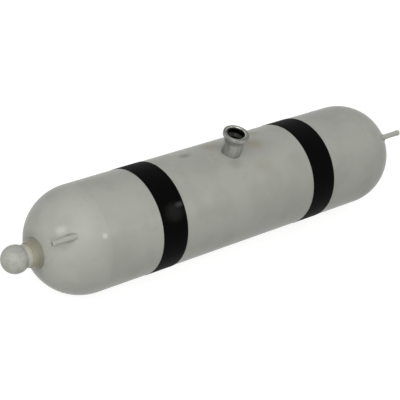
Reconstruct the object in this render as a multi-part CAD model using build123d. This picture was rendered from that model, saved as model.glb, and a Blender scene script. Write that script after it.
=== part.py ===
from build123d import *
import math
import os

# Coolant expansion tank: a natural plastic barrel closed by two welded domes, with a steel filler neck,
# a vent nipple on each dome, a capped hose spigot on the left dome and two rubber strap bands.
# X runs along the tank from the outlet end to the other end, and Z runs up the filler neck.
# The origin is on the tank's axis, midway between the bands. All sizes are in millimetres.

# Barrel and domes
BARREL_RADIUS = 90.0
BARREL_LENGTH = 586.0
WALL = 5.0

# Inside flash bead of each butt weld
FLASH_WIDTH = 6.0
FLASH_HEIGHT = 2.5

# Rubber strap bands
BAND_WIDTH = 50.0
BAND_STAND = 1.0
BAND_BOND = 0.03
BAND_PITCH = 335.0
BAND_EDGE = 0.3

# Surge baffles
BAFFLE_THICKNESS = 4.0
BAFFLE_OPEN_HEIGHT = 66.0
BAFFLE_FLANGE_WIDTH = 14.0
BAFFLE_FLANGE_THICKNESS = 3.5
BAFFLE_CLEARANCE = 0.1

# Steel filler neck: G1 inside thread in a turned collar, which flares from a narrower body
NECK_STATION = 2.0
NECK_RISE = 40.0
COLLAR_RADIUS = 22.2
COLLAR_HEIGHT = 8.0
COLLAR_CHAMFER = 1.2
NECK_FLARE_RADIUS = 19.8
NECK_FLARE_HEIGHT = 8.5
NECK_RADIUS = 17.0
NECK_TAIL_RADIUS = 15.8
NECK_SHOULDER_DEPTH = 12.0
NECK_BORE_RADIUS = 12.0
THREAD_MINOR_RADIUS = 15.15
THREAD_LENGTH = 13.0
MOUTH_RADIUS = 17.4
NECK_CLEARANCE = 0.05

# Boss, seal and spring ring that hold the neck
BOSS_RADIUS = 27.0
BOSS_DEPTH = 27.0
BOSS_EDGE = 2.5
SEAL_SECTION = 1.8
SEAL_DEPTH = 19.5
SEAL_GAP = 0.05
RING_THICKNESS = 1.5
RING_WIDTH = 3.4
RING_GROOVE_DEPTH = 1.2
RING_OPENING = 8.0
NECK_TAIL_END = 4.0

# Vent nipples
VENT_RADIUS = 4.6
VENT_BORE_RADIUS = 3.0
VENT_BEAD_RADIUS = 5.1
VENT_BEAD_LENGTH = 4.5
VENT_BEAD_SLOPE = 0.9
VENT_INSET = 18.3
VENT_ANGLE = 38.0
VENT_REACH = 40.3
VENT_INNER_STAND = 2.0
VENT_WELD_SIZE = 4.5

# Outlet spigot and its push-on cap
SPIGOT_RADIUS = 19.0
SPIGOT_FOOT_RADIUS = 19.6
SPIGOT_SEAT_RADIUS = 18.0
SPIGOT_BORE_RADIUS = 15.2
SPIGOT_LAND = 20.4
SPIGOT_SEAT = 17.6
SPIGOT_EDGE = 0.8
SPIGOT_INNER_STAND = 3.0
SPIGOT_WELD_RADIUS = 23.2
SPIGOT_WELD_RISE = 11.0
SPIGOT_WELD_CROWN = 0.6
CAP_RADIUS = 23.1
CAP_CENTRE_STAND = 32.5
CAP_WALL = 2.4
CAP_CLEARANCE = 0.3

# Places that follow from the sizes above
HALF_BARREL = BARREL_LENGTH / 2
INNER_RADIUS = BARREL_RADIUS - WALL
APEX = HALF_BARREL + BARREL_RADIUS
NECK_TOP = BARREL_RADIUS + NECK_RISE
VENT_OFFSET = BARREL_RADIUS - VENT_INSET
VENT_Y = -VENT_OFFSET * math.sin(math.radians(VENT_ANGLE))
VENT_Z = VENT_OFFSET * math.cos(math.radians(VENT_ANGLE))
VENT_TIP = HALF_BARREL + math.sqrt(BARREL_RADIUS**2 - VENT_OFFSET**2) + VENT_REACH
BOSS_BOTTOM = BARREL_RADIUS - BOSS_DEPTH


def cylinder_x(radius, start, end, y=0.0, z=0.0):
    """Cylinder along X between two stations."""
    middle = (start + end) / 2
    return Pos(middle, y, z) * Rot(0, 90, 0) * Cylinder(radius, end - start)


def cylinder_z(radius, bottom, top):
    """Cylinder up the neck's axis between two heights."""
    return Pos(NECK_STATION, 0, (bottom + top) / 2) * Cylinder(radius, top - bottom)


def turned_x(points):
    """Solid turned about X from a closed outline of (station, radius) points."""
    return revolve(make_face(Polyline(*points, close=True)), axis=Axis.X)


def turned_z(points):
    """Solid turned about the neck's axis from a closed outline of (radius, height) points."""
    outline = Polyline(*[(radius, 0, height) for radius, height in points], close=True)
    return Pos(NECK_STATION, 0, 0) * revolve(make_face(outline), axis=Axis.Z)


def to_left(solid):
    """The same piece on the other end of the tank."""
    return mirror(solid, about=Plane.YZ)


def end_ball(radius):
    """Ball whose outer half is the right dome's surface at this radius."""
    return Pos(HALF_BARREL, 0, 0) * Sphere(radius)


def barrel_tube():
    """Straight tube with the neck's hole in its crown."""
    tube = cylinder_x(BARREL_RADIUS, -HALF_BARREL, HALF_BARREL)
    tube -= cylinder_x(INNER_RADIUS, -HALF_BARREL, HALF_BARREL)
    return tube - cylinder_z(NECK_RADIUS + NECK_CLEARANCE, 0, NECK_TOP)


def end_dome():
    """Right hemispherical dome with the hole of its vent nipple."""
    outer = CenterArc((HALF_BARREL, 0), BARREL_RADIUS, 0, 90)
    rim = Line((HALF_BARREL, BARREL_RADIUS), (HALF_BARREL, INNER_RADIUS))
    inner = CenterArc((HALF_BARREL, 0), INNER_RADIUS, 0, 90)
    axis = Line((HALF_BARREL + INNER_RADIUS, 0), (APEX, 0))
    shell = revolve(make_face([outer, rim, inner, axis]), axis=Axis.X)
    return shell - cylinder_x(VENT_RADIUS, HALF_BARREL, VENT_TIP, VENT_Y, VENT_Z)


def outlet_dome():
    """Left dome, which also has the outlet's hole at its apex."""
    return to_left(end_dome()) - cylinder_x(SPIGOT_FOOT_RADIUS, -APEX, -HALF_BARREL)


def flash_bead():
    """Rounded bead that the butt weld leaves inside, on the right-hand joint."""
    half = FLASH_WIDTH / 2
    half_turn = math.asin(half / INNER_RADIUS) / 2
    joint = (HALF_BARREL, INNER_RADIUS)
    on_barrel = (HALF_BARREL - half, INNER_RADIUS)
    crest = (HALF_BARREL, INNER_RADIUS - FLASH_HEIGHT)
    on_dome = (HALF_BARREL + half, math.sqrt(INNER_RADIUS**2 - half**2))
    dome_middle = (HALF_BARREL + INNER_RADIUS * math.sin(half_turn), INNER_RADIUS * math.cos(half_turn))
    seam_side = ThreePointArc(on_dome, dome_middle, joint)
    face = make_face([Line(joint, on_barrel), ThreePointArc(on_barrel, crest, on_dome), seam_side])
    return revolve(face, axis=Axis.X)


def rubber_band(station):
    """Thin rubber strip round the barrel, on a layer of adhesive, with softened outer edges."""
    half = BAND_WIDTH / 2
    top = BARREL_RADIUS + BAND_STAND
    under = BARREL_RADIUS + BAND_BOND
    return turned_x([
        (station - half, under),
        (station - half, top - BAND_EDGE),
        (station - half + BAND_EDGE, top),
        (station + half - BAND_EDGE, top),
        (station + half, top - BAND_EDGE),
        (station + half, under),
    ])


def surge_baffle(station):
    """Plate across the barrel with flanged sides, open above and below for air and coolant."""
    radius = INNER_RADIUS - BAFFLE_CLEARANCE
    half_plate = BAFFLE_THICKNESS / 2
    half_flange = BAFFLE_FLANGE_WIDTH / 2
    plate = cylinder_x(radius, station - half_plate, station + half_plate)
    flange = cylinder_x(radius, station - half_flange, station + half_flange)
    flange -= cylinder_x(radius - BAFFLE_FLANGE_THICKNESS, station - half_flange, station + half_flange)
    window = Pos(station, 0, 0) * Box(BAFFLE_FLANGE_WIDTH, 2 * radius, 2 * BAFFLE_OPEN_HEIGHT)
    return (plate + flange) & window


def filler_neck():
    """Steel socket: threaded collar, flare, body, and a shouldered tail with seal and ring grooves."""
    shoulder = BARREL_RADIUS - NECK_SHOULDER_DEPTH
    collar_bottom = NECK_TOP - COLLAR_HEIGHT
    tail_end = BOSS_BOTTOM - RING_THICKNESS - NECK_TAIL_END
    mouth_depth = MOUTH_RADIUS - THREAD_MINOR_RADIUS
    seal_high = BARREL_RADIUS - SEAL_DEPTH + SEAL_SECTION / 2 + SEAL_GAP
    seal_low = BARREL_RADIUS - SEAL_DEPTH - SEAL_SECTION / 2 - SEAL_GAP
    seal_floor = NECK_TAIL_RADIUS + NECK_CLEARANCE - SEAL_SECTION - 2 * SEAL_GAP
    ring_floor = NECK_TAIL_RADIUS - RING_GROOVE_DEPTH
    ring_high = BOSS_BOTTOM
    ring_low = BOSS_BOTTOM - RING_THICKNESS
    thread_end = NECK_TOP - THREAD_LENGTH
    return turned_z([
        (NECK_BORE_RADIUS, tail_end),
        (NECK_TAIL_RADIUS, tail_end),
        (NECK_TAIL_RADIUS, ring_low),
        (ring_floor, ring_low),
        (ring_floor, ring_high),
        (NECK_TAIL_RADIUS, ring_high),
        (NECK_TAIL_RADIUS, seal_low),
        (seal_floor, seal_low),
        (seal_floor, seal_high),
        (NECK_TAIL_RADIUS, seal_high),
        (NECK_TAIL_RADIUS, shoulder),
        (NECK_RADIUS, shoulder),
        (NECK_RADIUS, collar_bottom - NECK_FLARE_HEIGHT),
        (NECK_FLARE_RADIUS, collar_bottom),
        (COLLAR_RADIUS - COLLAR_CHAMFER, collar_bottom),
        (COLLAR_RADIUS, collar_bottom + COLLAR_CHAMFER),
        (COLLAR_RADIUS, NECK_TOP - COLLAR_CHAMFER),
        (COLLAR_RADIUS - COLLAR_CHAMFER, NECK_TOP),
        (MOUTH_RADIUS, NECK_TOP),
        (THREAD_MINOR_RADIUS, NECK_TOP - mouth_depth),
        (THREAD_MINOR_RADIUS, thread_end),
        (NECK_BORE_RADIUS, thread_end - (THREAD_MINOR_RADIUS - NECK_BORE_RADIUS)),
    ])


def neck_boss():
    """Pad welded under the barrel's crown, stepped inside so that the neck's shoulder stands on it."""
    shoulder = BARREL_RADIUS - NECK_SHOULDER_DEPTH
    pad = cylinder_z(BOSS_RADIUS, BOSS_BOTTOM, BARREL_RADIUS)
    pad = fillet(pad.edges().sort_by(Axis.Z)[0], BOSS_EDGE)
    pad &= cylinder_x(INNER_RADIUS, NECK_STATION - BOSS_RADIUS, NECK_STATION + BOSS_RADIUS)
    pad -= cylinder_z(NECK_TAIL_RADIUS + NECK_CLEARANCE, BOSS_BOTTOM, shoulder)
    return pad - cylinder_z(NECK_RADIUS + NECK_CLEARANCE, shoulder, BARREL_RADIUS)


def neck_o_ring():
    """Seal ring in the neck's groove, against the boss."""
    centre = NECK_TAIL_RADIUS + NECK_CLEARANCE - SEAL_GAP - SEAL_SECTION / 2
    return Pos(NECK_STATION, 0, BARREL_RADIUS - SEAL_DEPTH) * Torus(centre, SEAL_SECTION / 2)


def neck_retaining_ring():
    """Open spring ring in the groove under the boss."""
    low = BOSS_BOTTOM - RING_THICKNESS
    inside = NECK_TAIL_RADIUS - RING_GROOVE_DEPTH
    outside = inside + RING_WIDTH
    ring = cylinder_z(outside, low, BOSS_BOTTOM) - cylinder_z(inside, low, BOSS_BOTTOM)
    gap_station = NECK_STATION + (inside + outside) / 2
    gap = Pos(gap_station, 0, low + RING_THICKNESS / 2) * Box(2 * RING_WIDTH, RING_OPENING, RING_THICKNESS)
    return ring - gap


def vent_nipple():
    """Right vent nipple: a thin tube through the dome's wall, with a bead at its tip for the hose."""
    start = HALF_BARREL
    bead_start = VENT_TIP - VENT_BEAD_LENGTH
    profile = turned_x([
        (start, VENT_BORE_RADIUS),
        (start, VENT_RADIUS),
        (bead_start - VENT_BEAD_SLOPE, VENT_RADIUS),
        (bead_start, VENT_BEAD_RADIUS),
        (VENT_TIP - VENT_BEAD_SLOPE, VENT_BEAD_RADIUS),
        (VENT_TIP, VENT_RADIUS),
        (VENT_TIP, VENT_BORE_RADIUS),
    ])
    tube = Pos(0, VENT_Y, VENT_Z) * profile
    return tube - end_ball(INNER_RADIUS - VENT_INNER_STAND)


def vent_weld():
    """Concave filler bead in the corner between the right vent nipple and the dome."""
    ball = end_ball(BARREL_RADIUS)
    stub = cylinder_x(VENT_RADIUS, HALF_BARREL, VENT_TIP, VENT_Y, VENT_Z)
    corner = ball + stub
    seam = new_edges(ball, stub, combined=corner)
    return fillet(seam, VENT_WELD_SIZE) - ball - stub


def on_dome(radius):
    """Station of the right dome's outside at this distance from the axis."""
    return HALF_BARREL + math.sqrt(BARREL_RADIUS**2 - radius**2)


def outlet_spigot():
    """Hose stub on the tank's axis with a slightly thicker foot, stepped down at its end for the cap."""
    inner_end = HALF_BARREL + INNER_RADIUS - WALL - SPIGOT_INNER_STAND
    foot_end = APEX + SPIGOT_WELD_RISE
    land_end = APEX + SPIGOT_LAND
    tip = land_end + SPIGOT_SEAT
    return to_left(turned_x([
        (inner_end, SPIGOT_BORE_RADIUS),
        (inner_end, SPIGOT_FOOT_RADIUS),
        (foot_end, SPIGOT_FOOT_RADIUS),
        (foot_end, SPIGOT_RADIUS),
        (land_end, SPIGOT_RADIUS),
        (land_end, SPIGOT_SEAT_RADIUS),
        (tip - SPIGOT_EDGE, SPIGOT_SEAT_RADIUS),
        (tip, SPIGOT_SEAT_RADIUS - SPIGOT_EDGE),
        (tip, SPIGOT_BORE_RADIUS),
    ]))


def outlet_weld():
    """Long filler bead that runs out along the spigot's foot from its root on the dome."""
    root = (on_dome(SPIGOT_FOOT_RADIUS), SPIGOT_FOOT_RADIUS)
    toe = (on_dome(SPIGOT_WELD_RADIUS), SPIGOT_WELD_RADIUS)
    middle_radius = (SPIGOT_FOOT_RADIUS + SPIGOT_WELD_RADIUS) / 2
    on_ball = (on_dome(middle_radius), middle_radius)
    end = (APEX + SPIGOT_WELD_RISE, SPIGOT_FOOT_RADIUS)
    crown = ((toe[0] + end[0]) / 2, middle_radius + SPIGOT_WELD_CROWN)
    sides = [ThreePointArc(root, on_ball, toe), ThreePointArc(toe, crown, end), Line(end, root)]
    return to_left(revolve(make_face(sides), axis=Axis.X))


def outlet_cap():
    """Ball-shaped push-on cap with a shoulder that stops it on the spigot's end."""
    centre = APEX + CAP_CENTRE_STAND
    rim = APEX + SPIGOT_LAND + CAP_CLEARANCE
    stop = APEX + SPIGOT_LAND + SPIGOT_SEAT + CAP_CLEARANCE
    tip = centre + CAP_RADIUS
    seat = SPIGOT_SEAT_RADIUS + CAP_CLEARANCE
    profile = (Pos(centre, 0) * Circle(CAP_RADIUS)) & slab(rim, tip, CAP_RADIUS)
    profile -= slab(rim, stop, seat)
    profile -= (Pos(centre, 0) * Circle(CAP_RADIUS - CAP_WALL)) & slab(centre, tip, SPIGOT_BORE_RADIUS)
    return to_left(revolve(profile, axis=Axis.X))


def slab(start, end, radius):
    """Flat rectangle between two stations, from the axis out to a radius."""
    return Pos((start + end) / 2, radius / 2) * Rectangle(end - start, radius)


def tank():
    """Every piece of the tank by name."""
    band = BAND_PITCH / 2
    flash = flash_bead()
    nipple = vent_nipple()
    nipple_bead = vent_weld()
    return {
        "barrel_tube": barrel_tube(),
        "left_end_dome": outlet_dome(),
        "right_end_dome": end_dome(),
        "left_dome_weld": to_left(flash),
        "right_dome_weld": flash,
        "left_rubber_band": rubber_band(-band),
        "right_rubber_band": rubber_band(band),
        "left_surge_baffle": surge_baffle(-band),
        "right_surge_baffle": surge_baffle(band),
        "filler_neck": filler_neck(),
        "neck_boss": neck_boss(),
        "neck_o_ring": neck_o_ring(),
        "neck_retaining_ring": neck_retaining_ring(),
        "left_vent_nipple": to_left(nipple),
        "right_vent_nipple": nipple,
        "left_vent_weld": to_left(nipple_bead),
        "right_vent_weld": nipple_bead,
        "outlet_spigot": outlet_spigot(),
        "outlet_weld": outlet_weld(),
        "outlet_cap": outlet_cap(),
    }


os.makedirs("parts", exist_ok=True)
for name, piece in tank().items():
    export_step(piece, f"parts/{name}.step")
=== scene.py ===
"""Dressed model of a coolant expansion tank.

It is welded from natural polyethylene, with rubber bands round it and a zinc-plated filler neck.
"""

import logging
import math
from dataclasses import dataclass
from enum import Enum

import bmesh
import bpy
from mathutils import Matrix, Vector

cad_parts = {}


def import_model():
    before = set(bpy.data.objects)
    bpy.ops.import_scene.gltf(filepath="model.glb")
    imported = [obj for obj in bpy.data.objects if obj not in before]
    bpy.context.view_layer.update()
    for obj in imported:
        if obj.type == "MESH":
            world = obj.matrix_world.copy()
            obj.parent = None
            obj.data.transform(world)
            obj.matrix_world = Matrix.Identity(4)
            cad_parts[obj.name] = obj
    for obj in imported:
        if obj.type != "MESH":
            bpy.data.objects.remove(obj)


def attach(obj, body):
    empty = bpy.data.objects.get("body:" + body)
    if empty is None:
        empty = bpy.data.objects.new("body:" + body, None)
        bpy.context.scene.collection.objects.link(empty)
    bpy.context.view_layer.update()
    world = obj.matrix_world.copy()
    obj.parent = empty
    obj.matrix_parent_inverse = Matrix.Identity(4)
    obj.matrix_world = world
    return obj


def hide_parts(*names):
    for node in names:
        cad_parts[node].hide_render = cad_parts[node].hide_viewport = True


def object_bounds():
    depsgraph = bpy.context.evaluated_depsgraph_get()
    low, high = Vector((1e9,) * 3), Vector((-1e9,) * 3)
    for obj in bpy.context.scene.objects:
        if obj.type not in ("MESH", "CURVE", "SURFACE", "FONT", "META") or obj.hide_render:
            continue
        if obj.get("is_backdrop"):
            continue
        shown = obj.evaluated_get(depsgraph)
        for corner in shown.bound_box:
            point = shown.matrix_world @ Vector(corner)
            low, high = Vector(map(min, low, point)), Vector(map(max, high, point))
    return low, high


LOG = logging.getLogger("expansion_tank")
MM = 0.001
MERGE_DISTANCE = 0.002 * MM
SMOOTH_ANGLE = math.radians(32)

Point = tuple[float, float, float]
Station = tuple[float, float]


class Axis(Enum):
    """The tank axis that a turned piece is made on."""

    X = 0
    Z = 2


class End(Enum):
    """The two ends of the tank, as the sign of X."""

    LEFT = -1
    RIGHT = 1


# Colours and material nodes


def linear(hex_colour: str) -> tuple[float, float, float, float]:
    """Turns an sRGB hex colour into the linear values that a shader takes.

    Args:
        hex_colour: Six hex digits with a leading #.

    Returns:
        Linear red, green, blue and an alpha of one.
    """
    shares = [int(hex_colour[i : i + 2], 16) / 255 for i in (1, 3, 5)]
    lit = [c / 12.92 if c <= 0.04045 else ((c + 0.055) / 1.055) ** 2.4 for c in shares]
    return (lit[0], lit[1], lit[2], 1.0)


def add_node(tree: bpy.types.NodeTree, kind: str, **details: object) -> bpy.types.Node:
    """Adds one node, sets its properties, and fills or links its inputs.

    Args:
        tree: The node tree to add to.
        kind: The node's type name, without its leading ShaderNode.
        **details: The node's properties and inputs, as fill_node takes them.

    Returns:
        The new node.
    """
    made = tree.nodes.new("ShaderNode" + kind)
    fill_node(tree, made, **details)
    return made


def fill_node(tree: bpy.types.NodeTree, node: bpy.types.Node, **details: object) -> None:
    """Sets a node's properties, and fills or links its inputs.

    Args:
        tree: The node's tree.
        node: The node.
        **details: First a value for each property. Then, for each input, a value, an output socket, or a
            node that stands for its first output in use. An input goes by its name, with an underscore
            for a blank, or by its place, such as i2 for the third.
    """
    for name, value in details.items():
        if hasattr(node, name):
            setattr(node, name, value)
            continue
        socket = node.inputs[int(name[1:]) if name[0] == "i" else name.replace("_", " ")]
        if isinstance(value, bpy.types.Node):
            value = next(output for output in value.outputs if output.enabled)
        if isinstance(value, bpy.types.NodeSocket):
            tree.links.new(value, socket)
        else:
            socket.default_value = value


def start_material(name: str) -> tuple[bpy.types.Material, bpy.types.Node, bpy.types.NodeSocket]:
    """Starts a node material that holds only its Principled shader, its output and its coordinates.

    Args:
        name: The material's name.

    Returns:
        The new material, its shader and the object coordinates.
    """
    material = bpy.data.materials.new(name)
    material.use_nodes = True
    tree = material.node_tree
    tree.nodes.clear()
    shader = add_node(tree, "BsdfPrincipled")
    add_node(tree, "OutputMaterial", Surface=shader)
    return material, shader, add_node(tree, "TexCoord").outputs["Object"]


def distance_from(tree: bpy.types.NodeTree, place: object, centre: Point, stretch: Point) -> bpy.types.Node:
    """Measures how far each point of a surface is from a centre.

    Args:
        tree: The node tree to add to.
        place: The object coordinates.
        centre: The centre.
        stretch: What each axis is multiplied by. Zero leaves it out.

    Returns:
        The distance in metres.
    """
    for operation, other in (("SUBTRACT", centre), ("MULTIPLY", stretch)):
        place = add_node(tree, "VectorMath", operation=operation, i0=place, i1=other)
    return add_node(tree, "VectorMath", operation="LENGTH", i0=place)


def seen_directly(tree: bpy.types.NodeTree) -> bpy.types.Node:
    """Finds the rays that show a backdrop: the camera's own, and those by way of gloss or glass.

    Args:
        tree: The node tree to add to.

    Returns:
        A factor that is 1 for such a ray.
    """
    rays = add_node(tree, "LightPath")
    share = rays.outputs["Is Camera Ray"]
    for kind in ("Is Glossy Ray", "Is Transmission Ray"):
        share = add_node(tree, "Math", operation="MAXIMUM", i0=share, i1=rays.outputs[kind])
    return share


# Finishes


@dataclass(frozen=True)
class Mark:
    """A soft-edged patch of colour at one place of the tank, for stains and wear and for painted highlights,
    sheen and shade.
    """

    place: Point
    reach: float
    colour: str
    strength: float
    stretch: Point = (1.0, 1.0, 1.0)
    fray: float = 0.9
    outer_edge: float = 1.45
    inner_edge: float = 0.55

    def lay(self, tree: bpy.types.NodeTree, place: object, broken_by: object, under: object) -> bpy.types.Node:
        """Lays the mark over a colour.

        Args:
            tree: The node tree to add to.
            place: The object coordinates.
            broken_by: A noise factor that frays the mark's edge.
            under: The colour below.

        Returns:
            The colour with the mark.
        """
        far = distance_from(tree, place, self.place, self.stretch)
        fray = self.fray * self.reach
        frayed = add_node(tree, "Math", operation="MULTIPLY_ADD", i0=broken_by, i1=fray, i2=far)
        near = add_node(
            tree,
            "MapRange",
            interpolation_type="SMOOTHSTEP",
            Value=frayed,
            From_Min=self.outer_edge * self.reach,
            From_Max=self.inner_edge * self.reach,
        )
        share = add_node(tree, "Math", operation="MULTIPLY", i0=near, i1=self.strength)
        return add_node(tree, "Mix", data_type="RGBA", i0=share, i6=under, i7=linear(self.colour))


@dataclass(frozen=True)
class NaturalPolyethylene:
    """Uncoloured high-density polyethylene as extruded or moulded: milky, cloudy and semi-matt.

    The eye sees a pale grey-green body with faint clouds a hand wide, a slightly wavy skin and fine scuffs.
    """

    name: str = "natural_hdpe_extruded"
    body: str = "#9c9d96"
    cloud: str = "#95968f"
    cloud_size: float = 70 * MM
    grime: str = "#8b8981"
    grime_size: float = 18 * MM
    grime_share: float = 0.35
    roughness: float = 0.33
    refraction: float = 1.53
    gloss_level: float = 0.13
    scatter_share: float = 0.05
    scatter_colours: Point = (1.0, 0.95, 0.8)
    scatter_depth: float = 6 * MM
    seam_station: float = 0.0
    seam_shade: float = 0.08
    scuff: str = "#b9b9b3"
    scuff_strength: float = 0.30
    scuff_roughness: float = 0.12
    extruded: bool = True
    flow_lines: float = 0.0
    marks: tuple[Mark, ...] = ()

    def make(self) -> bpy.types.Material:
        """Builds the material.

        Returns:
            The finished material.
        """
        material, shader, place = start_material(self.name)
        tree = material.node_tree
        patches = add_node(
            tree, "TexNoise", Vector=place, Scale=1 / self.grime_size, Detail=5.0, Roughness=0.6
        )
        colour = self._clouded(tree, place, patches)
        for mark in self.marks:
            colour = mark.lay(tree, place, patches, colour)
        scuffs = self._scuffs(tree, place)
        worn = add_node(tree, "Math", operation="MULTIPLY", i0=scuffs, i1=self.scuff_strength)
        colour = add_node(tree, "Mix", data_type="RGBA", i0=worn, i6=colour, i7=linear(self.scuff))
        seam = self._seam(tree, place) if self.seam_station else None
        if seam is not None:
            shaded = add_node(tree, "Math", operation="MULTIPLY", i0=seam, i1=self.seam_shade)
            colour = add_node(tree, "Mix", data_type="RGBA", i0=shaded, i6=colour, i7=linear(self.grime))
        dulled = add_node(
            tree, "Math", operation="MULTIPLY_ADD", i0=scuffs, i1=self.scuff_roughness, i2=self.roughness
        )
        fill_node(
            tree,
            shader,
            Base_Color=colour,
            Roughness=dulled,
            IOR=self.refraction,
            Specular_IOR_Level=self.gloss_level,
            Subsurface_Weight=self.scatter_share,
            Subsurface_Radius=self.scatter_colours,
            Subsurface_Scale=self.scatter_depth,
            Normal=self._skin(tree, place, seam),
        )
        return material

    def _clouded(self, tree: bpy.types.NodeTree, place: object, patches: object) -> bpy.types.Node:
        """Colours the body with its clouds and with faint grime in patches.

        Args:
            tree: The node tree to add to.
            place: The object coordinates.
            patches: The noise that the grime follows.

        Returns:
            The colour.
        """
        clouds = add_node(
            tree, "TexNoise", Vector=place, Scale=1 / self.cloud_size, Detail=3.0, Roughness=0.55
        )
        cloudy = add_node(
            tree, "MapRange", interpolation_type="SMOOTHSTEP", Value=clouds, From_Min=0.38, From_Max=0.66
        )
        colour = add_node(
            tree, "Mix", data_type="RGBA", i0=cloudy, i6=linear(self.body), i7=linear(self.cloud)
        )
        dirt = add_node(
            tree, "MapRange", interpolation_type="SMOOTHSTEP", Value=patches, From_Min=0.60, From_Max=0.80
        )
        faint = add_node(tree, "Math", operation="MULTIPLY", i0=dirt, i1=self.grime_share)
        return add_node(tree, "Mix", data_type="RGBA", i0=faint, i6=colour, i7=linear(self.grime))

    def _seam(self, tree: bpy.types.NodeTree, place: object) -> bpy.types.Node:
        """Finds the butt-weld lines, 3 mm wide where the outside bead was trimmed off, at both ends alike.

        Args:
            tree: The node tree to add to.
            place: The object coordinates.

        Returns:
            A factor that is 1 in a line.
        """
        along = add_node(tree, "SeparateXYZ", Vector=place).outputs["X"]
        out = add_node(tree, "Math", operation="ABSOLUTE", i0=along)
        off = add_node(tree, "Math", operation="SUBTRACT", i0=out, i1=self.seam_station)
        far = add_node(tree, "Math", operation="ABSOLUTE", i0=off)
        return add_node(
            tree, "MapRange", interpolation_type="SMOOTHSTEP", Value=far, From_Min=2.2 * MM, From_Max=0.6 * MM
        )

    def _scuffs(self, tree: bpy.types.NodeTree, place: object) -> bpy.types.Node:
        """Draws fine handling scuffs, 0.5 mm wide and some centimetres long, in scattered groups.

        Args:
            tree: The node tree to add to.
            place: The object coordinates.

        Returns:
            A factor that is 1 in a scuff.
        """
        turned = add_node(
            tree, "Mapping", Vector=place, Rotation=(0.3, 0.2, 0.5), Scale=(28.0, 900.0, 900.0)
        )
        lines = add_node(tree, "TexNoise", Vector=turned, Scale=1.0, Detail=2.0)
        groups = add_node(tree, "TexNoise", Vector=place, Scale=1 / (55 * MM), Detail=1.0)
        thin = add_node(
            tree, "MapRange", interpolation_type="SMOOTHSTEP", Value=lines, From_Min=0.66, From_Max=0.74
        )
        where = add_node(
            tree, "MapRange", interpolation_type="SMOOTHSTEP", Value=groups, From_Min=0.55, From_Max=0.68
        )
        return add_node(tree, "Math", operation="MULTIPLY", i0=thin, i1=where)

    def _skin(self, tree: bpy.types.NodeTree, place: object, seam: bpy.types.Node | None) -> bpy.types.Node:
        """Makes the wavy skin, its trimmed seams, and lines along X where it was drawn or flowed.

        Args:
            tree: The node tree to add to.
            place: The object coordinates.
            seam: The factor that is 1 in a trimmed seam, if the finish has one.

        Returns:
            The skin's normal.
        """
        waves = add_node(tree, "TexNoise", Vector=place, Scale=1 / (38 * MM), Detail=1.0)
        skin = add_node(tree, "Bump", Height=waves, Strength=0.35, Distance=0.6 * MM)
        if seam is not None:
            skin = add_node(tree, "Bump", Height=seam, Strength=0.3, Distance=0.2 * MM, Normal=skin)
        if self.flow_lines:
            drawn = add_node(tree, "Mapping", Vector=place, Scale=(14.0, 170.0, 170.0))
            flow = add_node(tree, "TexNoise", Vector=drawn, Scale=1.0, Detail=3.0)
            skin = add_node(
                tree, "Bump", Height=flow, Strength=self.flow_lines, Distance=0.7 * MM, Normal=skin
            )
        if self.extruded:
            drawn = add_node(tree, "Mapping", Vector=place, Scale=(1.2, 260.0, 260.0))
            lines = add_node(tree, "TexNoise", Vector=drawn, Scale=1.0, Detail=2.0)
            skin = add_node(tree, "Bump", Height=lines, Strength=0.12, Distance=0.2 * MM, Normal=skin)
        grain = add_node(tree, "TexNoise", Vector=place, Scale=1 / (1.2 * MM), Detail=2.0)
        return add_node(tree, "Bump", Height=grain, Strength=0.10, Distance=0.05 * MM, Normal=skin)


@dataclass(frozen=True)
class BandRubber:
    """Thin black rubber strip cut from calendered sheet: matt and all but black, with a fine press mark.

    Dust lies on it in thin films. Two grey patches on the left band are a painted sheen, the reflection of a
    lamp.
    """

    name: str = "black_epdm_calendered_strip"
    body: str = "#020202"
    dust: str = "#080807"
    roughness: float = 0.55
    dust_roughness: float = 0.2
    refraction: float = 1.52
    gloss_level: float = 0.022
    press_size: float = 0.9 * MM
    marks: tuple[Mark, ...] = (
        # Painted sheen where a lamp reflects on the left band, brighter in its middle.
        Mark((-0.1654, -0.0646, 0.0626), 22 * MM, "#20201e", 0.70, (0.8, 1.0, 1.0)),
        Mark((-0.1512, -0.0575, 0.0692), 8 * MM, "#3d3d3a", 0.8, (0.6, 1.2, 1.2)),
    )

    def make(self) -> bpy.types.Material:
        """Builds the material.

        Returns:
            The finished material.
        """
        material, shader, place = start_material(self.name)
        tree = material.node_tree
        film = add_node(tree, "TexNoise", Vector=place, Scale=1 / (30 * MM), Detail=4.0, Roughness=0.6)
        speck = add_node(tree, "TexNoise", Vector=place, Scale=1 / (1.6 * MM), Detail=3.0)
        thick = add_node(
            tree, "MapRange", interpolation_type="SMOOTHSTEP", Value=film, From_Min=0.45, From_Max=0.75
        )
        broken = add_node(
            tree, "MapRange", interpolation_type="SMOOTHSTEP", Value=speck, From_Min=0.35, From_Max=0.7
        )
        dusty = add_node(tree, "Math", operation="MULTIPLY", i0=thick, i1=broken)
        colour = add_node(tree, "Mix", data_type="RGBA", i0=dusty, i6=linear(self.body), i7=linear(self.dust))
        for mark in self.marks:
            colour = mark.lay(tree, place, film, colour)
        dulled = add_node(
            tree, "Math", operation="MULTIPLY_ADD", i0=dusty, i1=self.dust_roughness, i2=self.roughness
        )
        pressed = add_node(tree, "TexVoronoi", Vector=place, Scale=1 / self.press_size)
        fill_node(
            tree,
            shader,
            Base_Color=colour,
            Roughness=dulled,
            IOR=self.refraction,
            Specular_IOR_Level=self.gloss_level,
            Normal=add_node(tree, "Bump", Height=pressed, Strength=0.18, Distance=0.08 * MM),
        )
        return material


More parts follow.
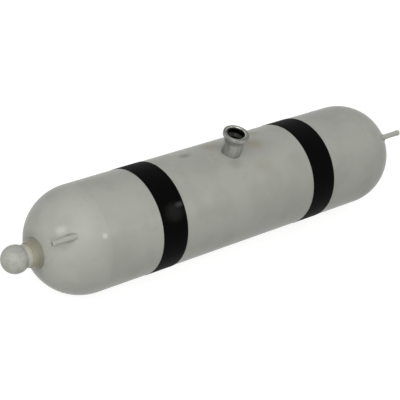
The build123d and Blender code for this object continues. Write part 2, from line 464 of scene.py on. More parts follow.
@dataclass(frozen=True)
class ZincPlate:
    """Turned steel with bright zinc plating gone dull: grey, faintly streaked, with fine rings from the lathe.

    The top face is painted darker as shade. The bore is painted near-black as the shade inside it, and is
    oily, and the bevel of its mouth is rubbed bright.
    """

    name: str = "zinc_plated_turned_steel"
    bright: str = "#999a95"
    dull: str = "#7e7f7a"
    painted_top_shade: str = "#6e6f6a"
    painted_bore_shade: str = "#24241f"
    polished: str = "#a0a09a"
    metal_share: float = 0.85
    roughness: float = 0.42
    dull_roughness: float = 0.12
    oily_roughness: float = 0.22
    polished_roughness: float = 0.18
    ring_pitch: float = 0.45 * MM
    axis_place: Point = (2 * MM, 0.0, 0.0)
    bore_edge: float = 16.85 * MM
    bevel_low: float = 128.5 * MM
    top_low: float = 129.1 * MM

    def make(self) -> bpy.types.Material:
        """Builds the material.

        Returns:
            The finished material.
        """
        material, shader, place = start_material(self.name)
        tree = material.node_tree
        height = add_node(tree, "SeparateXYZ", Vector=place).outputs["Z"]
        streaks = self._streaks(tree, place)
        inside = self._inside(tree, place, height)
        mouth = add_node(
            tree,
            "MapRange",
            interpolation_type="SMOOTHSTEP",
            Value=height,
            From_Min=self.bevel_low - 0.3 * MM,
            From_Max=self.bevel_low,
        )
        bevel = add_node(tree, "Math", operation="MULTIPLY", i0=inside, i1=mouth)
        patchy = add_node(
            tree, "Math", operation="MULTIPLY_ADD", i0=streaks, i1=self.dull_roughness, i2=self.roughness
        )
        oily = add_node(tree, "Mix", data_type="FLOAT", i0=inside, i2=patchy, i3=self.oily_roughness)
        fill_node(
            tree,
            shader,
            Base_Color=self._colour(tree, height, streaks, inside, bevel),
            Metallic=self.metal_share,
            Roughness=add_node(tree, "Mix", data_type="FLOAT", i0=bevel, i2=oily, i3=self.polished_roughness),
            Normal=self._rings(tree, place, bevel),
        )
        return material

    def _streaks(self, tree: bpy.types.NodeTree, place: object) -> bpy.types.Node:
        """Finds the dull streaks, 5 mm wide and drawn out down the neck.

        Args:
            tree: The node tree to add to.
            place: The object coordinates.

        Returns:
            A factor that is 1 in a streak.
        """
        drawn = add_node(tree, "Mapping", Vector=place, Scale=(1.0, 1.0, 0.2))
        clouds = add_node(tree, "TexNoise", Vector=drawn, Scale=1 / (5 * MM), Detail=4.0, Roughness=0.6)
        return add_node(
            tree, "MapRange", interpolation_type="SMOOTHSTEP", Value=clouds, From_Min=0.38, From_Max=0.68
        )

    def _colour(
        self, tree: bpy.types.NodeTree, height: object, streaks: object, inside: object, bevel: object
    ) -> bpy.types.Node:
        """Lays the streaks, the painted shade of the top face and of the bore, and the rubbed bevel over the
        plating.

        Args:
            tree: The node tree to add to.
            height: The height in the object coordinates.
            streaks: The factor of the dull streaks.
            inside: The factor of the bore and its bevel.
            bevel: The factor of the bevel alone.

        Returns:
            The colour.
        """
        # Painted shade on the top face.
        top = add_node(
            tree,
            "MapRange",
            interpolation_type="SMOOTHSTEP",
            Value=height,
            From_Min=self.top_low - 0.2 * MM,
            From_Max=self.top_low,
        )
        colour = linear(self.bright)
        # The bore is painted near-black as the shade inside it; the bevel stays rubbed bright.
        over = ((streaks, self.dull), (top, self.painted_top_shade), (inside, self.painted_bore_shade), (bevel, self.polished))
        for share, shade in over:
            colour = add_node(tree, "Mix", data_type="RGBA", i0=share, i6=colour, i7=linear(shade))
        return colour

    def _rings(self, tree: bpy.types.NodeTree, place: object, bevel: object) -> bpy.types.Node:
        """Cuts the lathe's fine rings, which are rubbed off the bevel.

        Args:
            tree: The node tree to add to.
            place: The object coordinates.
            bevel: The factor of the bevel.

        Returns:
            The ringed normal.
        """
        rings = add_node(
            tree,
            "TexWave",
            wave_type="BANDS",
            bands_direction="Z",
            Vector=place,
            Scale=1 / (self.ring_pitch * 2 * math.pi),
            Distortion=0.4,
        )
        kept = add_node(
            tree, "Math", operation="SUBTRACT", use_clamp=True, i0=rings.outputs["Fac"], i1=bevel
        )
        return add_node(tree, "Bump", Height=kept, Strength=0.12, Distance=0.02 * MM)

    def _inside(self, tree: bpy.types.NodeTree, place: object, height: object) -> bpy.types.Node:
        """Finds the bore and the bevel of its mouth by their distance from the neck's axis.

        Args:
            tree: The node tree to add to.
            place: The object coordinates.
            height: The height in those coordinates.

        Returns:
            A factor that is 1 in the bore and on the bevel.
        """
        out = distance_from(tree, place, self.axis_place, (1.0, 1.0, 0.0))
        over = add_node(tree, "Math", operation="SUBTRACT", i0=height, i1=self.bevel_low)
        widens = add_node(tree, "Math", operation="MAXIMUM", i0=over, i1=0.0)
        from_axis = add_node(tree, "Math", operation="SUBTRACT", i0=out, i1=widens)
        return add_node(
            tree,
            "MapRange",
            interpolation_type="SMOOTHSTEP",
            Value=from_axis,
            From_Min=self.bore_edge,
            From_Max=self.bore_edge - 0.15 * MM,
        )


@dataclass(frozen=True)
class DarkSteel:
    """Phosphated spring steel strip: dark grey and dull."""

    name: str = "phosphated_spring_steel"
    body: str = "#4a4b4a"
    crystal: str = "#5c5d5b"
    metal_share: float = 0.8
    roughness: float = 0.5

    def make(self) -> bpy.types.Material:
        """Builds the material.

        Returns:
            The finished material.
        """
        material, shader, place = start_material(self.name)
        tree = material.node_tree
        crystals = add_node(tree, "TexNoise", Vector=place, Scale=1 / (0.8 * MM), Detail=3.0)
        colour = add_node(
            tree, "Mix", data_type="RGBA", i0=crystals, i6=linear(self.body), i7=linear(self.crystal)
        )
        fill_node(tree, shader, Base_Color=colour, Metallic=self.metal_share, Roughness=self.roughness)
        return material


@dataclass(frozen=True)
class StudioPaper:
    """Grey paper under the tank that is lit up for the camera, so that it looks white and only shades."""

    name: str = "white_studio_paper"
    paper: str = "#8e8e8c"
    glow: float = 0.86

    def make(self) -> bpy.types.Material:
        """Builds the material.

        Returns:
            The finished material.
        """
        material = bpy.data.materials.new(self.name)
        material.use_nodes = True
        tree = material.node_tree
        tree.nodes.clear()
        light = add_node(tree, "Math", operation="MULTIPLY", i0=seen_directly(tree), i1=self.glow)
        matt = add_node(tree, "BsdfDiffuse", Color=linear(self.paper))
        shine = add_node(tree, "Emission", Color=(1, 1, 1, 1), Strength=light)
        both = add_node(tree, "AddShader", i0=matt, i1=shine)
        add_node(tree, "OutputMaterial", Surface=both)
        return material


# Modelling in the viewport's own operators


def start_clean() -> None:
    """Leaves edit mode and deselects everything."""
    if bpy.context.object and bpy.context.object.mode != "OBJECT":
        bpy.ops.object.mode_set(mode="OBJECT")
    bpy.ops.object.select_all(action="DESELECT")


def pick(piece: bpy.types.Object) -> None:
    """Selects one object and makes it active.

    Args:
        piece: The object.
    """
    start_clean()
    piece.select_set(True)
    bpy.context.view_layer.objects.active = piece


def turned_piece(
    name: str, axis: Axis, outline: list[Station], segments: int, centre: Point = (0, 0, 0)
) -> bpy.types.Object:
    """Turns a closed outline: a ring is extruded from station to station and joined up with itself.

    Args:
        name: The piece's name.
        axis: The axis that it is turned on.
        outline: (place along the axis, radius) of each station, in metres.
        segments: Faces round the piece.
        centre: A point on the axis of turning, in the frame.

    Returns:
        The finished object, at the origin, with smooth faces.
    """
    start_clean()
    turn = (0, math.pi / 2, 0) if axis is Axis.X else (0, 0, 0)
    bpy.ops.mesh.primitive_circle_add(vertices=segments, radius=outline[0][1], rotation=turn)
    piece = bpy.context.object
    piece.name = piece.data.name = name
    bpy.ops.object.transform_apply(location=True, rotation=True, scale=True)
    bpy.ops.object.mode_set(mode="EDIT")
    bpy.ops.mesh.select_all(action="SELECT")
    middle = Vector(centre)
    middle[axis.value] = outline[0][0]
    bpy.ops.transform.translate(value=middle)
    for before, after in zip(outline, outline[1:] + outline[:1]):
        step = Vector((0, 0, 0))
        step[axis.value] = after[0] - before[0]
        middle += step
        grow = [after[1] / before[1]] * 3
        grow[axis.value] = 1.0
        bpy.ops.mesh.extrude_region_move(TRANSFORM_OT_translate={"value": step})
        bpy.ops.transform.resize(value=grow, center_override=middle)
    bpy.ops.mesh.select_all(action="SELECT")
    bpy.ops.mesh.remove_doubles(threshold=MERGE_DISTANCE)
    bpy.ops.mesh.normals_make_consistent(inside=False)
    bpy.ops.object.mode_set(mode="OBJECT")
    bpy.ops.object.shade_smooth_by_angle(angle=SMOOTH_ANGLE)
    return piece


def rounded(outline: list[Station], reach: dict[int, float], steps: int = 4) -> list[Station]:
    """Rounds chosen corners of an outline with a quadratic curve.

    Args:
        outline: The stations.
        reach: How far from its corner each rounding starts, by the corner's index.
        steps: Runs in each rounding.

    Returns:
        The outline with its rounded corners.
    """
    made: list[Station] = []
    for index, corner in enumerate(outline):
        if index not in reach:
            made.append(corner)
            continue
        here = Vector(corner)
        before = Vector(outline[index - 1])
        after = Vector(outline[(index + 1) % len(outline)])
        start = here + (before - here).normalized() * reach[index]
        end = here + (after - here).normalized() * reach[index]
        for step in range(steps + 1):
            share = step / steps
            point = start * (1 - share) ** 2 + here * 2 * share * (1 - share) + end * share**2
            made.append((point.x, point.y))
    return made


def copy_of_node(node: str, name: str) -> bpy.types.Object:
    """Copies a solid's mesh into a new piece whose loose triangles are merged.

    Args:
        node: The solid's node.
        name: The new piece's name.

    Returns:
        The new object, at the origin.
    """
    mesh = bpy.data.objects[node].data.copy()
    piece = bpy.data.objects.new(name, mesh)
    mesh.name = name
    mesh.materials.clear()
    bpy.context.scene.collection.objects.link(piece)
    pick(piece)
    bpy.ops.object.mode_set(mode="EDIT")
    bpy.ops.mesh.select_all(action="SELECT")
    bpy.ops.mesh.remove_doubles(threshold=MERGE_DISTANCE)
    bpy.ops.mesh.customdata_custom_splitnormals_clear()
    bpy.ops.mesh.normals_make_consistent(inside=False)
    bpy.ops.object.mode_set(mode="OBJECT")
    return piece


def keep_as_piece(
    piece: bpy.types.Object, body: str, nodes: tuple[str, ...], finish: bpy.types.Material
) -> None:
    """Dresses a new piece, hangs it on the body that it rides on, and hides the solids that it stands for.

    Args:
        piece: The new object.
        body: The body that it moves with.
        nodes: The solids that it stands for.
        finish: Its material.
    """
    piece.data.materials.clear()
    piece.data.materials.append(finish)
    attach(piece, body)
    if nodes:
        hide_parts(*nodes)
    LOG.info("%s: %d faces", piece.name, len(piece.data.polygons))


def dress_node(node: str, finish: bpy.types.Material) -> None:
    """Gives a solid that stays its finish.

    Args:
        node: The solid's node.
        finish: Its material.
    """
    solid = bpy.data.objects[node]
    for index in range(max(1, len(solid.material_slots))):
        if solid.material_slots:
            solid.material_slots[index].material = finish
        else:
            solid.data.materials.append(finish)
    LOG.info("%s: dressed with %s", node, finish.name)


# Sub-assemblies


@dataclass(frozen=True)
class HandLaying:
    """What makes a plain bead of filler look laid by hand."""

    lump_spacing: float
    lump_height: float = 0.5 * MM
    sunk_share: float = 0.25
    skin_voxel: float = 0.45 * MM
    melting: float = 0.4
    melting_rounds: int = 2

    def lay(self, bead: bpy.types.Object) -> bpy.types.Object:
        """Gives a bead an even skin and melted lumps.

        Args:
            bead: The plain bead.

        Returns:
            The same bead, lumpy.
        """
        pick(bead)
        remesh = bead.modifiers.new("Even skin", "REMESH")
        remesh.mode = "VOXEL"
        remesh.voxel_size = self.skin_voxel
        bpy.ops.object.modifier_apply(modifier=remesh.name)
        lumps = bpy.data.textures.new(f"{bead.name}_lumps", "CLOUDS")
        lumps.noise_scale = self.lump_spacing
        lumps.noise_depth = 1
        displace = bead.modifiers.new("Hand-laid lumps", "DISPLACE")
        displace.texture = lumps
        displace.texture_coords = "LOCAL"
        displace.strength = self.lump_height
        displace.mid_level = self.sunk_share
        bpy.ops.object.modifier_apply(modifier=displace.name)
        smooth = bead.modifiers.new("Melted", "SMOOTH")
        smooth.factor = self.melting
        smooth.iterations = self.melting_rounds
        bpy.ops.object.modifier_apply(modifier=smooth.name)
        bpy.ops.object.shade_smooth()
        return bead


@dataclass(frozen=True)
class TankShell:
    """Barrel, domes and what is welded inside them."""

    half_barrel: float = 293 * MM
    barrel_stains_and_painted_shade: tuple[Mark, ...] = (
        Mark((0.056, 0.004, 0.090), 20 * MM, "#8e8a79", 0.85, (0.8, 1.0, 1.0)),
        Mark((-0.016, 0.034, 0.083), 26 * MM, "#8a8677", 0.75, (0.8, 1.0, 1.0)),
        Mark((0.047, -0.042, 0.079), 24 * MM, "#94907f", 0.35, (0.8, 1.0, 1.0)),
        Mark((-0.037, 0.006, 0.090), 5 * MM, "#8a8a82", 0.35),
        Mark((0.201, -0.076, 0.048), 9 * MM, "#8b8b83", 0.30, (0.6, 1.0, 1.0)),
        # Painted shade with grime, darker round the front of the neck's foot.
        Mark((-0.0062, -0.0249, 0.0865), 17 * MM, "#8b8b84", 0.65, (0.8, 1.0, 1.0)),
        Mark((-0.0797, 0.0252, 0.0864), 11 * MM, "#787872", 0.80, (0.6, 1.0, 1.0)),
        Mark((0.0829, 0.0351, 0.0829), 15 * MM, "#8d8979", 0.70, (0.7, 1.0, 1.0)),
    )
    dome_stains_and_painted_light: tuple[Mark, ...] = (
        # Darker round the outlet spigot's root: weld discolouration with painted shade where the spigot meets
        # the dome.
        Mark((-0.3830, 0.0, 0.0), 46 * MM, "#77776a", 0.72),
        # Painted highlights where the lamps reflect: a soft spot above the left nipple and a small spot on the
        # seam.
        Mark((-0.3578, -0.0251, 0.0572), 14 * MM, "#b6b7b0", 0.75),
        Mark((-0.3037, -0.0658, 0.0605), 7 * MM, "#bcbab3", 0.85),
    )

    def dress(self) -> bpy.types.Material:
        """Dresses the shell's solids.

        Returns:
            The nipples' finish, which is the same plastic in a thinner wall that lets more light through.
        """
        tube = NaturalPolyethylene(seam_station=self.half_barrel, marks=self.barrel_stains_and_painted_shade).make()
        moulded = NaturalPolyethylene(
            name="natural_hdpe_moulded_dome",
            body="#9e9f98",
            cloud="#979891",
            extruded=False,
            seam_station=self.half_barrel,
            marks=self.dome_stains_and_painted_light,
        ).make()
        dress_node("barrel_tube", tube)
        for node in ("left_end_dome", "right_end_dome"):
            dress_node(node, moulded)
        inside = NaturalPolyethylene(name="natural_hdpe_sheet", scuff_strength=0.0, extruded=False).make()
        for node in ("left_surge_baffle", "right_surge_baffle", "neck_boss"):
            dress_node(node, inside)
        flash = NaturalPolyethylene(
            name="hdpe_butt_weld_flash", body="#9c9a8f", cloud="#949287", scuff_strength=0.0, extruded=False
        ).make()
        for node in ("left_dome_weld", "right_dome_weld"):
            dress_node(node, flash)
        return NaturalPolyethylene(
            name="natural_hdpe_hose_nipple",
            body="#a3a49c",
            cloud="#9b9c94",
            scatter_share=0.08,
            scuff_strength=0.0,
            extruded=False,
        ).make()


@dataclass(frozen=True)
class FillerNeck:
    """Steel socket with a flared collar, an inside pipe thread, a seal and a spring ring."""

    station: float = 2 * MM
    top: float = 130 * MM
    wall_top: float = 90 * MM
    collar_radius: float = 22.2 * MM
    collar_height: float = 8 * MM
    edge: float = 1.2 * MM
    flare_radius: float = 19.8 * MM
    flare_height: float = 8.5 * MM
    body_radius: float = 17 * MM
    tail_radius: float = 15.8 * MM
    shoulder_depth: float = 12 * MM
    bore_radius: float = 12 * MM
    minor_radius: float = 15.15 * MM
    major_radius: float = 16.62 * MM
    mouth_radius: float = 18.1 * MM
    pitch: float = 2.309 * MM
    thread_length: float = 9.3 * MM
    ridge_sink: float = 0.25 * MM
    ridge_root_share: float = 0.40
    ridge_tip_share: float = 0.10
    ridge_steps: int = 72
    ridge_merge: float = 0.001 * MM
    ridge_angle: float = math.radians(30)
    tail_end: float = 57.5 * MM
    ring_low: float = 61.5 * MM
    ring_high: float = 63 * MM
    ring_floor: float = 14.6 * MM
    seal_depth: float = 19.5 * MM
    seal_half: float = 0.95 * MM
    seal_floor: float = 13.95 * MM
    segments: int = 128

    def build(self, zinc: bpy.types.Material, rubber: bpy.types.Material, steel: bpy.types.Material) -> None:
        """Builds and dresses the neck.

        Args:
            zinc: The plated finish.
            rubber: The seal's finish.
            steel: The spring ring's finish.
        """
        keep_as_piece(self._socket(), "tank", ("filler_neck",), zinc)
        keep_as_piece(self._thread(), "tank", (), zinc)
        dress_node("neck_o_ring", rubber)
        dress_node("neck_retaining_ring", steel)

    def _socket(self) -> bpy.types.Object:
        """Turns the socket with rounded outer edges and a bore at the thread's major radius.

        Returns:
            The socket.
        """
        shoulder = self.wall_top - self.shoulder_depth
        collar_low = self.top - self.collar_height
        seal = self.wall_top - self.seal_depth
        outline = [
            (self.tail_end, self.bore_radius),
            (self.tail_end, self.tail_radius),
            (self.ring_low, self.tail_radius),
            (self.ring_low, self.ring_floor),
            (self.ring_high, self.ring_floor),
            (self.ring_high, self.tail_radius),
            (seal - self.seal_half, self.tail_radius),
            (seal - self.seal_half, self.seal_floor),
            (seal + self.seal_half, self.seal_floor),
            (seal + self.seal_half, self.tail_radius),
            (shoulder, self.tail_radius),
            (shoulder, self.body_radius),
            (collar_low - self.flare_height, self.body_radius),
            (collar_low, self.flare_radius),
            (collar_low, self.collar_radius - self.edge),
            (collar_low + self.edge, self.collar_radius),
            (self.top - self.edge, self.collar_radius),
            (self.top, self.collar_radius - self.edge),
            (self.top, self.mouth_radius),
            (self.top - (self.mouth_radius - self.major_radius), self.major_radius),
            (self.top - self.thread_length - self.pitch, self.major_radius),
            (self.top - self.thread_length - 3 * self.pitch, self.bore_radius),
        ]
        soft = {12: 2.5, 13: 0.5, 15: 0.6, 16: 0.6, 17: 0.5, 18: 0.7, 19: 0.7}
        outline = rounded(outline, {corner: reach * MM for corner, reach in soft.items()})
        centre = (self.station, 0, 0)
        return turned_piece("threaded_filler_socket", Axis.Z, outline, self.segments, centre)

    def _thread(self) -> bpy.types.Object:
        """Winds the thread's ridge.

        A small profile is shaped, turned by a Screw modifier and closed at its ends.

        Returns:
            The ridge.
        """
        turns = int(self.thread_length / self.pitch)
        start_clean()
        bpy.ops.mesh.primitive_plane_add(size=self.pitch)
        ridge = bpy.context.object
        ridge.name = ridge.data.name = "filler_pipe_thread"
        low = self.top - self.thread_length - 0.5 * self.pitch
        root = self.major_radius + self.ridge_sink
        bpy.ops.object.mode_set(mode="EDIT")
        mesh = bmesh.from_edit_mesh(ridge.data)
        mesh.verts.ensure_lookup_table()
        half = self.ridge_root_share * self.pitch
        tip = self.ridge_tip_share * self.pitch
        corners = [
            (root, low - half),
            (root, low + half),
            (self.minor_radius, low - tip),
            (self.minor_radius, low + tip),
        ]
        ordered = sorted(mesh.verts, key=lambda v: (-v.co.x, v.co.y))
        for vert, (radius, height) in zip(ordered, corners):
            vert.co = Vector((radius, 0, height))
        bmesh.update_edit_mesh(ridge.data)
        bpy.ops.mesh.select_mode(type="FACE")
        bpy.ops.mesh.select_all(action="SELECT")
        bpy.ops.mesh.delete(type="ONLY_FACE")
        bpy.ops.object.mode_set(mode="OBJECT")
        screw = ridge.modifiers.new("Screw", "SCREW")
        screw.angle = 2 * math.pi
        screw.screw_offset = self.pitch
        screw.iterations = turns
        screw.steps = screw.render_steps = self.ridge_steps
        screw.use_merge_vertices = False
        bpy.ops.object.modifier_apply(modifier="Screw")
        bpy.ops.object.mode_set(mode="EDIT")
        bpy.ops.mesh.select_all(action="SELECT")
        bpy.ops.mesh.remove_doubles(threshold=self.ridge_merge)
        bpy.ops.mesh.select_all(action="DESELECT")
        bpy.ops.mesh.select_mode(type="EDGE")
        bpy.ops.mesh.select_non_manifold()
        bpy.ops.mesh.fill_holes(sides=4)
        bpy.ops.mesh.select_all(action="SELECT")
        bpy.ops.transform.translate(value=(self.station, 0, 0))
        bpy.ops.mesh.normals_make_consistent(inside=False)
        bpy.ops.mesh.select_mode(type="VERT")
        bpy.ops.object.mode_set(mode="OBJECT")
        bpy.ops.object.shade_smooth_by_angle(angle=self.ridge_angle)
        return ridge


@dataclass(frozen=True)
class StrapBand:
    """Thin rubber strip round the barrel where a clamp sits.

    A ring of faces along each edge, as wide as the margin, keeps the edge's shading off the flat middle.
    """

    station: float = 167.5 * MM
    inner_radius: float = 90.1 * MM
    thickness: float = 0.4 * MM
    width: float = 50 * MM
    edge: float = 0.15 * MM
    margin: float = 4 * MM
    segments: int = 192

    def build(self, side: End, rubber: bpy.types.Material) -> None:
        """Builds and dresses the band.

        Args:
            side: The end that it is near.
            rubber: Its finish.
        """
        name = side.name.lower()
        half = self.width / 2
        top = self.inner_radius + self.thickness
        middle = self.station * side.value
        outline = [
            (middle - half, self.inner_radius),
            (middle - half, top),
            (middle - half + self.margin, top),
            (middle + half - self.margin, top),
            (middle + half, top),
            (middle + half, self.inner_radius),
        ]
        outline = rounded(outline, {1: self.edge, 4: self.edge}, steps=3)
        band = turned_piece(f"{name}_strap_strip", Axis.X, outline, self.segments)
        keep_as_piece(band, "tank", (f"{name}_rubber_band",), rubber)


@dataclass(frozen=True)
class VentNipple:
    """Thin hose nipple with a rounded bead, on its lumpy filler bead."""

    place_y: float = -44.143 * MM
    place_z: float = 56.500 * MM
    radius: float = 4.6 * MM
    bore_radius: float = 3.0 * MM
    bead_radius: float = 5.1 * MM
    tip: float = 387.70 * MM
    root: float = 338.5 * MM
    bead_length: float = 4.5 * MM
    lead_in: float = 1.2 * MM
    tip_bevel: float = 0.9 * MM
    segments: int = 48
    lump_spacing: float = 4 * MM

    def build(self, side: End, plastic: bpy.types.Material, filler: bpy.types.Material) -> None:
        """Builds and dresses one nipple and its weld.

        Args:
            side: The dome that it stands on.
            plastic: The nipple's finish.
            filler: The weld's finish.
        """
        name = side.name.lower()
        bead = self.tip - self.bead_length
        outline = [
            (self.root, self.bore_radius),
            (self.root, self.radius),
            (bead - self.lead_in, self.radius),
            (bead, self.bead_radius),
            (self.tip - self.tip_bevel, self.bead_radius),
            (self.tip, self.radius),
            (self.tip, self.bore_radius),
        ]
        outline = rounded(outline, {2: 0.5 * MM, 3: 0.6 * MM, 4: 0.8 * MM, 5: 0.45 * MM, 6: 0.3 * MM})
        outline = [(along * side.value, out) for along, out in outline]
        centre = (0, self.place_y, self.place_z)
        tube = turned_piece(f"{name}_vent_hose_nipple", Axis.X, outline, self.segments, centre)
        keep_as_piece(tube, "tank", (f"{name}_vent_nipple",), plastic)
        plain = copy_of_node(f"{name}_vent_weld", f"{name}_vent_filler_bead")
        weld = HandLaying(self.lump_spacing).lay(plain)
        keep_as_piece(weld, "tank", (f"{name}_vent_weld",), filler)


@dataclass(frozen=True)
class OutletFitting:
    """Hose spigot on the left dome with its weld and its ball-shaped push-on cap.

    The weld's outline runs from its thin toe on the dome along its skin to the spigot, then back by its root.
    """

    apex: float = 383 * MM
    land: float = 20.4 * MM
    seat_depth: float = 17.6 * MM
    clearance: float = 0.3 * MM
    cap_radius: float = 23.1 * MM
    centre_stand: float = 32.5 * MM
    wall: float = 2.4 * MM
    seat_radius: float = 18.3 * MM
    bore_radius: float = 15.2 * MM
    gate_radius: float = 1.8 * MM
    gate_edge: float = 1.15
    gate_depth: float = 0.5 * MM
    pole_radius: float = 0.02 * MM
    ball_steps: int = 28
    hollow_steps: int = 14
    segments: int = 96
    lump_spacing: float = 5 * MM
    weld_skin: tuple[Station, ...] = (
        (379.2 * MM, 26.6 * MM),
        (380.3 * MM, 24.9 * MM),
        (381.6 * MM, 23.8 * MM),
        (384.0 * MM, 22.9 * MM),
        (388.0 * MM, 21.7 * MM),
        (391.5 * MM, 20.8 * MM),
        (393.6 * MM, 20.1 * MM),
    )
    weld_root: tuple[Station, ...] = (
        (394.2 * MM, 18.9 * MM),
        (382.0 * MM, 18.9 * MM),
        (377.6 * MM, 23.0 * MM),
    )

    def build(self, filler: bpy.types.Material, white: bpy.types.Material) -> None:
        """Builds and dresses the outlet.

        Args:
            filler: The weld's finish.
            white: The cap's finish.
        """
        stained = NaturalPolyethylene(
            name="natural_hdpe_spigot",
            body="#a6a69e",
            cloud="#9e9e96",
            extruded=False,
            marks=(Mark((-0.3915, 0, 0), 8.0 * MM, "#98927f", 0.8, (1.0, 0.0, 0.0)),),
        ).make()
        dress_node("outlet_spigot", stained)
        weld = [(-along, out) for along, out in self.weld_skin + self.weld_root]
        plain = turned_piece("outlet_filler_bead", Axis.X, weld, self.segments)
        bead = HandLaying(self.lump_spacing).lay(plain)
        keep_as_piece(bead, "tank", ("outlet_weld",), filler)
        keep_as_piece(self._cap(), "cap", ("outlet_cap",), white)
    def _cap(self) -> bpy.types.Object:
        """Turns the cap with a rounded lip, the dimple of its moulding gate and its stop shoulder inside.

        Returns:
            The cap.
        """
        centre = self.apex + self.centre_stand
        rim = self.apex + self.land + self.clearance
        stop = rim + self.seat_depth
        from_rim = math.acos((rim - centre) / self.cap_radius)
        to_gate = math.asin(self.gate_edge * self.gate_radius / self.cap_radius)
        floor = centre + self.cap_radius - self.gate_depth
        outside = self._arc(centre, self.cap_radius, from_rim, to_gate, self.ball_steps)
        outside += [(floor, self.gate_radius), (floor, self.pole_radius)]
        hollow = self.cap_radius - self.wall
        to_stop = math.asin(self.bore_radius / hollow)
        inside = self._arc(centre, hollow, self.pole_radius / hollow, to_stop, self.hollow_steps)
        lip = (rim, self.seat_radius)
        outline = [lip, *outside, *inside, (stop, self.bore_radius), (stop, self.seat_radius)]
        outline = rounded(outline, {0: 0.4 * MM, 1: 0.5 * MM})
        outline = [(-along, out) for along, out in outline]
        return turned_piece("push_on_end_cap", Axis.X, outline, self.segments)

    @staticmethod
    def _arc(centre: float, radius: float, start: float, end: float, steps: int) -> list[Station]:
        """Lists the stations of an arc about a point of the axis.

        Args:
            centre: The arc's centre along the axis.
            radius: The arc's radius.
            start: The angle from the outward axis where it starts.
            end: The angle where it ends.
            steps: Its runs.

        Returns:
            The stations.
        """
        turns = [start + (end - start) * step / steps for step in range(steps + 1)]
        return [(centre + radius * math.cos(turn), radius * math.sin(turn)) for turn in turns]


# Studio


@dataclass(frozen=True)
class PhotoCamera:
    """Camera fitted to the tank's outline in the photograph."""

    aim: Point = (-0.03967, -0.00036, -0.00098)
    back: Point = (-0.60584, -0.53102, 0.59244)
    up: Point = (0.24514, 0.58383, 0.77399)
    distance: float = 2.4453
    lens: float = 129.75
    sensor_width: float = 36.0
    nearest: float = 0.01
    farthest: float = 50.0

    def place(self) -> None:
        """Adds the camera and makes it the scene's own."""
        data = bpy.data.cameras.new("photo_camera")
        data.lens = self.lens
        data.sensor_width = self.sensor_width
        data.clip_start = self.nearest
        data.clip_end = self.farthest
        camera = bpy.data.objects.new("photo_camera", data)
        bpy.context.scene.collection.objects.link(camera)
        back = Vector(self.back).normalized()
        up = (Vector(self.up) - back * Vector(self.up).dot(back)).normalized()
        right = up.cross(back)
        turn = Matrix((right, up, back)).transposed().to_4x4()
        camera.matrix_world = Matrix.Translation(Vector(self.aim) + back * self.distance) @ turn
        bpy.context.scene.camera = camera


@dataclass(frozen=True)
class Softbox:
    """One rectangular lamp that looks at the tank."""

    name: str
    towards: Point
    distance: float
    width: float
    height: float
    watts: float

    def hang(self) -> None:
        """Adds the lamp."""
        data = bpy.data.lights.new(self.name, "AREA")
        data.shape = "RECTANGLE"
        data.size, data.size_y = self.width, self.height
        data.energy = self.watts
        lamp = bpy.data.objects.new(self.name, data)
        bpy.context.scene.collection.objects.link(lamp)
        away = Vector(self.towards).normalized()
        lamp.location = away * self.distance
        lamp.rotation_mode = "QUATERNION"
        lamp.rotation_quaternion = away.to_track_quat("Z", "Y")


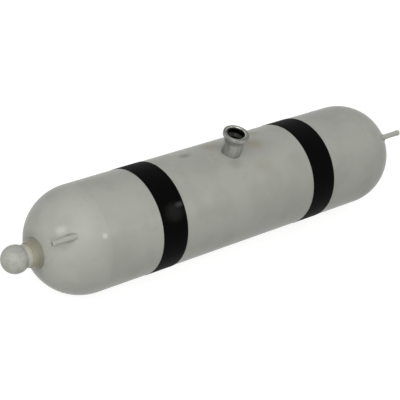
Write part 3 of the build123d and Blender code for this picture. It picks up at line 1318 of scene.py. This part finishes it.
@dataclass(frozen=True)
class Studio:
    """Paper sweep, lamps, world and view settings."""

    floor_height: float = -90.5 * MM
    floor_size: float = 14.0
    room_level: float = 0.50
    room_colour: tuple[float, float, float, float] = (1.0, 1.0, 0.985, 1.0)
    lamps: tuple[Softbox, ...] = (
        Softbox("softbox_right", (0.42, -0.70, 0.58), 2.6, 0.3, 0.15, 5.0),
        Softbox("softbox_left", (-0.86, 0.05, 0.53), 2.6, 0.3, 0.3, 5.0),
        Softbox("softbox_top", (-0.2, -0.1, 1.0), 3.0, 2.2, 2.2, 14.0),
        Softbox("softbox_front", (-0.6, -0.53, 0.59), 2.6, 1.6, 1.6, 28.0),
        Softbox("softbox_low", (-0.85, -0.5, 0.1), 2.6, 0.9, 0.9, 14.0),
    )

    def set_up(self) -> None:
        """Builds the studio."""
        self._floor()
        self._world()
        for lamp in self.lamps:
            lamp.hang()
        bpy.context.scene.view_settings.view_transform = "Standard"

    def _floor(self) -> None:
        """Lays the paper under the tank's bands."""
        start_clean()
        bpy.ops.mesh.primitive_grid_add(x_subdivisions=4, y_subdivisions=4, size=self.floor_size)
        floor = bpy.context.object
        floor.name = floor.data.name = "paper_floor"
        bpy.ops.object.mode_set(mode="EDIT")
        bpy.ops.mesh.select_all(action="SELECT")
        bpy.ops.transform.translate(value=(0, 0, self.floor_height))
        bpy.ops.object.mode_set(mode="OBJECT")
        floor.data.materials.append(StudioPaper().make())
        floor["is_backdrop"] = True

    def _world(self) -> None:
        """Lights the room evenly, and shows it white to the camera and in what reflects it."""
        world = bpy.data.worlds.new("white_room")
        bpy.context.scene.world = world
        world.use_nodes = True
        tree = world.node_tree
        tree.nodes.clear()
        room = add_node(tree, "Background", Color=self.room_colour, Strength=self.room_level)
        white = add_node(tree, "Background", Color=(1, 1, 1, 1), Strength=1.0)
        both = add_node(tree, "MixShader", i0=seen_directly(tree), i1=room, i2=white)
        add_node(tree, "OutputWorld", Surface=both)


def main() -> None:
    """Builds the dressed tank in its studio."""
    logging.basicConfig(level=logging.INFO, format="%(message)s")
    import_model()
    solid_box = tuple(corner.copy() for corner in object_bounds())
    PhotoCamera().place()
    Studio().set_up()

    plastic = TankShell().dress()
    rubber = BandRubber().make()
    seal = BandRubber(name="moulded_nitrile_seal", body="#181817", dust="#1f1f1d", marks=()).make()
    filler = NaturalPolyethylene(
        name="hdpe_hand_weld_filler",
        body="#96948a",
        cloud="#8a877b",
        grime="#7d7a6b",
        cloud_size=12 * MM,
        scuff_strength=0.0,
        extruded=False,
    ).make()
    stained_and_shaded_filler = NaturalPolyethylene(
        name="hdpe_hand_weld_filler_stained_and_shaded",
        body="#8d8978",
        cloud="#848170",
        grime="#7d7a6a",
        cloud_size=9 * MM,
        scuff_strength=0.0,
        extruded=False,
        # Darker towards the dome: weld discolouration with painted shade where the weld meets the dome.
        marks=(Mark((-0.3770, 0, 0), 17 * MM, "#737366", 0.95, (1.0, 0.0, 0.0)),),
    ).make()
    white = NaturalPolyethylene(
        name="white_ldpe_moulded_cap",
        body="#a0a19a",
        cloud="#959690",
        roughness=0.34,
        cloud_size=11 * MM,
        flow_lines=0.35,
        extruded=False,
    ).make()
    FillerNeck().build(ZincPlate().make(), seal, DarkSteel().make())
    for side in End:
        StrapBand().build(side, rubber)
        VentNipple().build(side, plastic, filler)
    OutletFitting().build(stained_and_shaded_filler, white)


if __name__ == "__main__":
    main()
